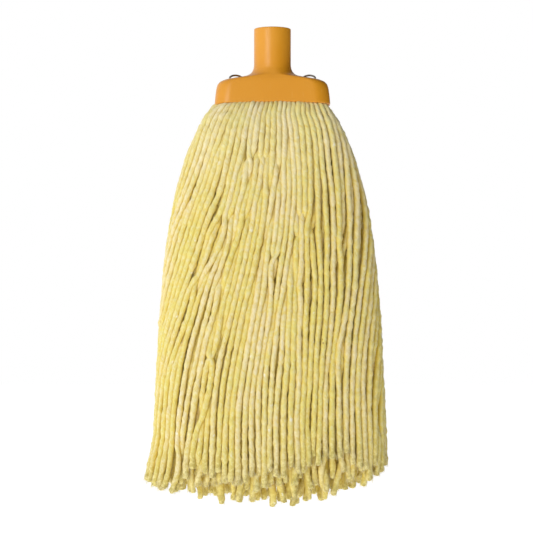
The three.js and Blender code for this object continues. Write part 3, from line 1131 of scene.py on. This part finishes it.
def exit_points():
    """How each strand leaves the skirt: straight down in the mouth, then out under the rim
    in a rounded knuckle. The outer rings bulge furthest and highest."""
    run, u, v, _ = outline(mouth_width, mouth_depth, MOUTH_POWER)
    side_u, side_v = np.interp(mouth_share, run, u), np.interp(mouth_share, run, v)
    lift = RIM_ARCH * (1 - (side_u * mouth_width / SKIRT_HALF_WIDTH) ** 2)
    swell = OWN_KNUCKLE * rng.uniform(-1, 1, count)
    for times in KNUCKLE_TIMES:
        phase = rng.uniform(0, FULL_TURN)
        swell += SHARED_KNUCKLE * np.sin(FULL_TURN * times * mouth_share + phase)
    knuckle = SKIRT_BOTTOM - lift
    packed = np.zeros(count)
    rows = (
        (packed, packed + STRAND_TOP - 1.5),
        (packed, packed + STRAND_TOP + 4.5),
        (1.7 - 0.2 * ring_of, knuckle + 1.7 + 2.2 * ring_of),
        (5.4 - 1.2 * ring_of - 0.6 * swell, knuckle + 1.4 + 3.2 * ring_of + swell),
    )
    points = []
    for out, depth in rows:
        out = out * (1 - 0.4 * np.abs(side_u) ** 4 - 0.5 * np.clip(side_u, 0, 1) ** 4)
        inset = ring_of * RING_INSET - out
        x = side_u * (mouth_width - inset)
        y = side_v * (mouth_depth - inset)
        points.append(np.stack([x, y, -depth], axis=1))
    return np.stack(points, axis=1)


def hanging_centres():
    """Every strand's centreline in even steps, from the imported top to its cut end."""
    depths = np.broadcast_to(-levels[:, None], spots.shape[:2] + (1,))
    knots = np.concatenate([exit_points(), np.concatenate([spots, depths], axis=2)], axis=1)
    curve = smooth_line(knots, FINE)
    run = run_along(curve)
    centres = np.zeros((count, RINGS, 3))
    for i in range(count):
        below = np.nonzero(-curve[i, :, 2] >= ends[i])[0][0]
        centres[i] = even_points(curve[i], run[i], run[i, below], RINGS)
    for _ in range(SOFTEN_ROUNDS):
        middles = 0.25 * (centres[:, :-2] + centres[:, 2:]) + 0.5 * centres[:, 1:-1]
        centres[:, 1:-1] = middles
    return centres


def make_hanging():
    """The hanging strands, with the way that is outward at each ring and how far in it lies,
    from 0 at the bell's surface to 1, which sets the painted shade of strands deeper inside."""
    centres = hanging_centres()
    drop = -centres[..., 2] - SKIRT_BOTTOM
    width, depth, power = bell(drop)
    outward = centres * np.stack([1 / width**2, 1 / depth**2, 0 * drop], axis=2)
    outward /= np.linalg.norm(outward, axis=2, keepdims=True)
    reach = (np.abs(centres[..., 0] - LEAN) / width) ** power
    reach = reach + (np.abs(centres[..., 1]) / depth) ** power
    inset = (1 - reach ** (1 / power)) * depth - STRAND_RADIUS
    left = run_along(centres)
    left = left[:, -1:] - left
    # Painted shade: none at the bell's surface, full deeper inside, less near the cut end.
    deep = np.clip(inset / DEPTH_SHADE_INSET, 0, 1) * (1 - 0.6 * np.exp(-left / 15))
    radius = PACKED_RADIUS + (STRAND_RADIUS - PACKED_RADIUS) * smoothstep(drop / EXIT_DROP)
    return Strands(centres, radius, outward, deep)


def lock_of(i):
    """The CAD lock and the body that a strand belongs to, by its place at half height."""
    x, y = spots[i, middle]
    share = (x - LEAN) / float(level_bell[0][middle])
    row = "front" if y < 0 else "back"
    if abs(share) > SIDE_START:
        side = "left" if share < 0 else "right"
        column = "outer" if abs(share) > SIDE_MIDDLE else "inner"
        return f"{side}_{column}_{row}_lock", f"{side}_yarn"
    layer = "inner" if layer_of[i] else "outer"
    column = int((share / SIDE_START + 1) / 2 * FRONT_COLUMNS)
    return f"{row}_{layer}_lock_{min(column, FRONT_COLUMNS - 1) + 1}", f"{row}_yarn"


def hang_piece(strands, name, members):
    fibres_each = np.where(layer_of[members] == 2, FIBRES_INSIDE, FIBRES)
    piece = strands.make_piece(name, members, fibres_each)
    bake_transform(piece)
    return piece


def hang_yarn(strands):
    """One piece for each CAD lock, whose part is hidden. The first strand of each lock is a
    piece of its own."""
    members = {}
    for i in range(count):
        lock, body = lock_of(i)
        members.setdefault(lock, []).append(i)
    for lock in sorted(members):
        first, rest = members[lock][0], members[lock][1:]
        piece = hang_piece(strands, lock.replace("lock", "strands"), rest)
        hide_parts(lock)
        single = hang_piece(strands, lock.replace("lock", "strand"), [first])


hang_yarn(make_hanging())

# ---- yarn folded over the rod

BUNDLES = 8
FOLD_LAYERS = 4
FOLD_RINGS = 48
FOLD_LIMIT = 39.5
FOLD_FOOT = 61.0
ROOF_GAP = 0.3
SQUASHED_PITCH = 0.9


def fold_knots(x, ring):
    """One strand's way from front to back over the rod, squashed under the skirt's roof."""
    half = mouth_depth - ring * RING_INSET
    top = SKIRT_ROOF + PACKED_RADIUS + ROOF_GAP + SQUASHED_PITCH * ring
    side = [(half, FOLD_FOOT), (0.97 * half, ROD_DEPTH), (0.6 * half, top + 0.8)]
    front = [(x, -y, -depth) for y, depth in side]
    back = [(x, y, -depth) for y, depth in reversed(side)]
    return front + [(x, 0, -top)] + back


def make_fold(number):
    """The folds of one bundle, side by side along the rod, every second ring set over."""
    saddle = f"yarn_saddle_{number}"
    low, high = (corner[0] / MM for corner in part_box(saddle))
    low = max(low, -FOLD_LIMIT) + PACKED_RADIUS
    high = min(high, FOLD_LIMIT) - PACKED_RADIUS
    places = np.linspace(low, high, max(int((high - low) / RING_PITCH) + 1, 2))
    middles = (places[1:] + places[:-1]) / 2
    knots = []
    for ring in range(FOLD_LAYERS):
        knots += [fold_knots(x, ring) for x in (middles if ring % 2 else places)]
    curve = smooth_line(np.array(knots), FINE)
    run = run_along(curve)
    centres = [even_points(*line, line[1][-1], FOLD_RINGS) for line in zip(curve, run)]
    centres = np.array(centres)
    outward = np.broadcast_to([0.0, 0.0, 1.0], centres.shape)
    radius = np.full(centres.shape[:2], PACKED_RADIUS)
    # Folded strands get the painted shade of strands half way in.
    strands = Strands(centres, radius, outward, np.full(centres.shape[:2], 0.5))
    piece = strands.make_piece(f"folded_yarn_{number}", np.arange(len(knots)), FIBRES_INSIDE)
    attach(piece, "head")
    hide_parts(saddle)


for number in range(1, BUNDLES + 1):
    make_fold(number)

# ---- floor and light

FLOOR_DROP = 0.35
FLOOR_SIZE = 12
FLOOR_GLOW = 0.72
FLOOR_GREY = (0.9, 0.9, 0.9, 1)
WHITE = (1, 1, 1, 1)
KEY_PLACE = (-0.9, -1.52, 0.1)
KEY_TARGET = (0, 0, -0.18)
KEY_SIZE = 0.9
KEY_POWER = 7.5
WORLD_AHEAD = 0.5
WORLD_FROM = -1.05
WORLD_TO = 0.26
WORLD_LEFT = 0.95
WORLD_RIGHT = 0.0


def make_floor():
    bpy.ops.mesh.primitive_plane_add(
        size=FLOOR_SIZE, location=(0, 0, cad_box[0][2] - FLOOR_DROP)
    )
    floor = bpy.context.object
    floor.name = "floor"
    n = Nodes(bpy.data.materials.new("floor"))
    pale = n.finish(
        Base_Color=FLOOR_GREY, Roughness=0.9, Emission_Color=WHITE, Emission_Strength=FLOOR_GLOW
    )
    floor.data.materials.append(pale)


def make_key_light():
    data = bpy.data.lights.new("key", "AREA")
    data.shape = "DISK"
    data.size = KEY_SIZE
    data.energy = KEY_POWER
    light = bpy.data.objects.new("key", data)
    light.location = KEY_PLACE
    aim = np.array(KEY_TARGET) - np.array(KEY_PLACE)
    pitch = np.pi / 2 + np.arctan2(aim[2], np.hypot(aim[0], aim[1]))
    light.rotation_euler = (pitch, 0, np.arctan2(-aim[0], aim[1]))
    bpy.context.scene.collection.objects.link(light)


def make_world():
    """A white studio: pure white behind the object, and softer light that comes from the
    left and from in front and behind more than from the right."""
    n = Nodes(bpy.data.worlds.new("studio"), "Background")
    place = n.add("ShaderNodeTexCoord").outputs["Generated"]
    x, y, _ = n.add("ShaderNodeSeparateXYZ", {"Vector": place}).outputs
    ahead = n.maths("MULTIPLY", n.maths("ABSOLUTE", y), WORLD_AHEAD)
    inputs = {
        "Value": n.maths("SUBTRACT", x, ahead),
        "From Min": WORLD_FROM,
        "From Max": WORLD_TO,
        "To Min": WORLD_LEFT,
        "To Max": WORLD_RIGHT,
    }
    around = n.add("ShaderNodeMapRange", inputs).outputs[0]
    seen = n.add("ShaderNodeLightPath").outputs["Is Camera Ray"]
    bpy.context.scene.world = n.finish(Color=WHITE, Strength=n.maths("MAXIMUM", seen, around))
    bpy.context.scene.view_settings.view_transform = "Standard"


make_floor()
make_key_light()
make_world()
